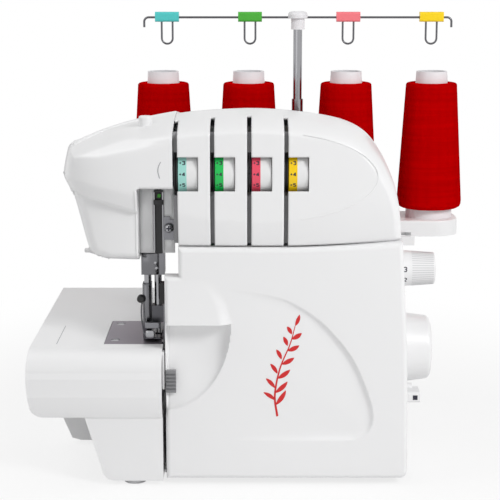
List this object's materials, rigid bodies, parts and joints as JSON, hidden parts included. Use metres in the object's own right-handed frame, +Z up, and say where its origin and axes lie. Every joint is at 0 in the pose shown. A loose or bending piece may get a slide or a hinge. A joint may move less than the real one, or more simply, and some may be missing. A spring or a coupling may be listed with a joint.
{
  "type": "overlock sewing machine",
  "caption": "Compact overlock sewing machine with a rounded white body, tension dials, a front door over the loopers, and a thread stand with cones and a raised guide.",
  "frame": {"origin": "on the table, under the middle of the bounding box", "axes": "+X to the operator's right, +Y away from the operator, +Z up"},
  "size_m": [0.377, 0.264, 0.373],
  "materials": {
    "shell_white": "satin",
    "pan_grey": "matt",
    "grip_grey": "satin",
    "feet_rubber": "matt",
    "steel": "brushed",
    "bright_metal": "polished",
    "cast_frame": "cast",
    "dark_plastic": "matt",
    "belt_rubber": "matt",
    "motor_grey": "satin",
    "pulley_grey": "matt",
    "core_white": "matt",
    "red_thread": "soft sheen",
    "dial_teal": "satin",
    "dial_green": "satin",
    "dial_pink": "satin",
    "dial_yellow": "satin",
    "clip_teal": "satin",
    "clip_green": "satin",
    "clip_pink": "satin",
    "clip_yellow": "satin"
  },
  "bodies": {
    "machine": {"base_pan": "pan_grey", "arm_base": "shell_white", "rubber_feet": "feet_rubber", "body_shell": "shell_white", "top_cover": "shell_white", "face_cover": "shell_white", "tension_frame": "dark_plastic", "tension_shaft": "steel", "tension_discs": "dark_plastic", "main_frame": "cast_frame", "shaft_bearings": "steel", "timing_belt": "belt_rubber", "motor": "motor_grey", "bar_bushing": "steel", "guide_bracket": "steel", "bed_frame": "cast_frame", "needle_plate": "steel", "plate_screws": "steel", "lower_knife": "steel", "power_unit": "dark_plastic", "thread_stand": "shell_white", "spool_pins": "core_white", "cone_cores": "core_white", "thread_cones": "red_thread", "guide_pole": "bright_metal"},
    "door_rod": {"door_hinge_rod": "steel"},
    "door": {"front_door": "shell_white", "door_grip": "grip_grey"},
    "bed_cover": {"bed_cover": "shell_white"},
    "drive": {"main_shaft": "steel", "handwheel": "shell_white", "drive_pulley": "pulley_grey"},
    "motor_rotor": {"motor_pulley": "pulley_grey"},
    "needle_rocker": {"needle_arm": "steel"},
    "needle_unit": {"needle_bar": "bright_metal", "needle_clamp": "steel", "needles": "steel"},
    "presser_unit": {"presser_bar": "bright_metal", "presser_foot": "steel"},
    "presser_lever": {"presser_lever": "shell_white"},
    "pressure_screw": {"pressure_screw": "steel"},
    "knife_unit": {"upper_knife": "steel", "knife_holder": "dark_plastic"},
    "lower_looper": {"lower_looper": "steel"},
    "upper_looper": {"upper_looper": "steel"},
    "feed_dog": {"feed_dog": "steel"},
    "stitch_dial": {"stitch_dial": "shell_white"},
    "feed_lever": {"feed_lever": "shell_white"},
    "power_switch": {"power_switch": "dark_plastic"},
    "thread_guide": {"guide_tube": "bright_metal", "guide_cap": "grip_grey", "guide_wire": "bright_metal", "guide_clip_1": "clip_teal", "guide_clip_2": "clip_green", "guide_clip_3": "clip_pink", "guide_clip_4": "clip_yellow"},
    "tension_dial_1": {"tension_dial_1": "dial_teal"},
    "tension_dial_2": {"tension_dial_2": "dial_green"},
    "tension_dial_3": {"tension_dial_3": "dial_pink"},
    "tension_dial_4": {"tension_dial_4": "dial_yellow"}
  },
  "joints": [
    {"name": "door_slide", "type": "slide", "parent": "machine", "child": "door_rod", "axis": [1, 0, 0], "range_m": [0, 0.008]},
    {"name": "door_open", "type": "hinge", "parent": "door_rod", "child": "door", "pos_m": [0.02, -0.114, 0.012], "axis": [1, 0, 0], "range_deg": [0, 85]},
    {"name": "bed_cover_pull", "type": "slide", "parent": "machine", "child": "bed_cover", "axis": [-1, 0, 0], "range_m": [0, 0.115]},
    {"name": "tension_1_turn", "type": "hinge", "parent": "machine", "child": "tension_dial_1", "pos_m": [-0.0587, -0.103, 0.2552], "axis": [1, 0, 0], "range_deg": [-140, 140]},
    {"name": "tension_2_turn", "type": "hinge", "parent": "machine", "child": "tension_dial_2", "pos_m": [-0.0298, -0.103, 0.2552], "axis": [1, 0, 0], "range_deg": [-140, 140]},
    {"name": "tension_3_turn", "type": "hinge", "parent": "machine", "child": "tension_dial_3", "pos_m": [-0.0009, -0.103, 0.2552], "axis": [1, 0, 0], "range_deg": [-140, 140]},
    {"name": "tension_4_turn", "type": "hinge", "parent": "machine", "child": "tension_dial_4", "pos_m": [0.028, -0.103, 0.2552], "axis": [1, 0, 0], "range_deg": [-140, 140]},
    {"name": "handwheel_turn", "type": "hinge", "parent": "machine", "child": "drive", "pos_m": [0.13, -0.0335, 0.092], "axis": [1, 0, 0], "continuous": true},
    {"name": "motor_turn", "type": "hinge", "parent": "machine", "child": "motor_rotor", "pos_m": [0.1, 0.036, 0.046], "axis": [1, 0, 0], "continuous": true},
    {"name": "needle_slide", "type": "slide", "parent": "machine", "child": "needle_unit", "axis": [0, 0, 1], "range_m": [-0.00366, 0.01759]},
    {"name": "needle_rock", "type": "hinge", "parent": "machine", "child": "needle_rocker", "pos_m": [-0.08, -0.043, 0.264], "axis": [-1, 0, 0], "range_deg": [-5.01, 24.01]},
    {"name": "knife_slide", "type": "slide", "parent": "machine", "child": "knife_unit", "axis": [0, 0, 1], "range_m": [-0.00183, 0.0088]},
    {"name": "feed_slide", "type": "slide", "parent": "machine", "child": "feed_dog", "axis": [0, 1, 0], "range_m": [-0.00061, 0.00292]},
    {"name": "lower_looper_swing", "type": "hinge", "parent": "machine", "child": "lower_looper", "pos_m": [-0.104, -0.08, 0.066], "axis": [0, 1, 0], "range_deg": [-2, 9.59]},
    {"name": "upper_looper_swing", "type": "hinge", "parent": "machine", "child": "upper_looper", "pos_m": [-0.07, -0.085, 0.074], "axis": [0, 1, 0], "range_deg": [-7.17, 1.5]},
    {"name": "presser_slide", "type": "slide", "parent": "machine", "child": "presser_unit", "axis": [0, 0, 1], "range_m": [0, 0.006]},
    {"name": "presser_lift", "type": "hinge", "parent": "machine", "child": "presser_lever", "pos_m": [-0.088, 0.04, 0.216], "axis": [0, 1, 0], "range_deg": [-0.01, 30.01]},
    {"name": "pressure_turn", "type": "hinge", "parent": "machine", "child": "pressure_screw", "pos_m": [-0.0936, -0.085, 0.29], "axis": [0, 0, 1], "range_deg": [-170, 170]},
    {"name": "stitch_length_turn", "type": "hinge", "parent": "machine", "child": "stitch_dial", "pos_m": [0.13, -0.0335, 0.1613], "axis": [1, 0, 0], "range_deg": [-120, 60]},
    {"name": "feed_ratio_turn", "type": "hinge", "parent": "machine", "child": "feed_lever", "pos_m": [0.125, -0.052, 0.058], "axis": [1, 0, 0], "range_deg": [-22, 22]},
    {"name": "power_rock", "type": "hinge", "parent": "machine", "child": "power_switch", "pos_m": [0.111, 0.01, 0.023], "axis": [0, 0, 1], "range_deg": [-7, 7]},
    {"name": "guide_pole_slide", "type": "slide", "parent": "machine", "child": "thread_guide", "axis": [0, 0, 1], "range_m": [-0.04, 0]}
  ],
  "couplings": [
    {"joint": "motor_turn", "follows": "handwheel_turn", "ratio": 2.75},
    {"joint": "needle_rock", "follows": "needle_slide", "rad_per_m": 23.81},
    {"joint": "knife_slide", "follows": "needle_slide", "ratio": 0.5},
    {"joint": "feed_slide", "follows": "needle_slide", "ratio": 0.166},
    {"joint": "lower_looper_swing", "follows": "needle_slide", "rad_per_m": 9.5},
    {"joint": "upper_looper_swing", "follows": "needle_slide", "rad_per_m": -7.1},
    {"joint": "presser_lift", "follows": "presser_slide", "rad_per_m": 87.266}
  ]
}
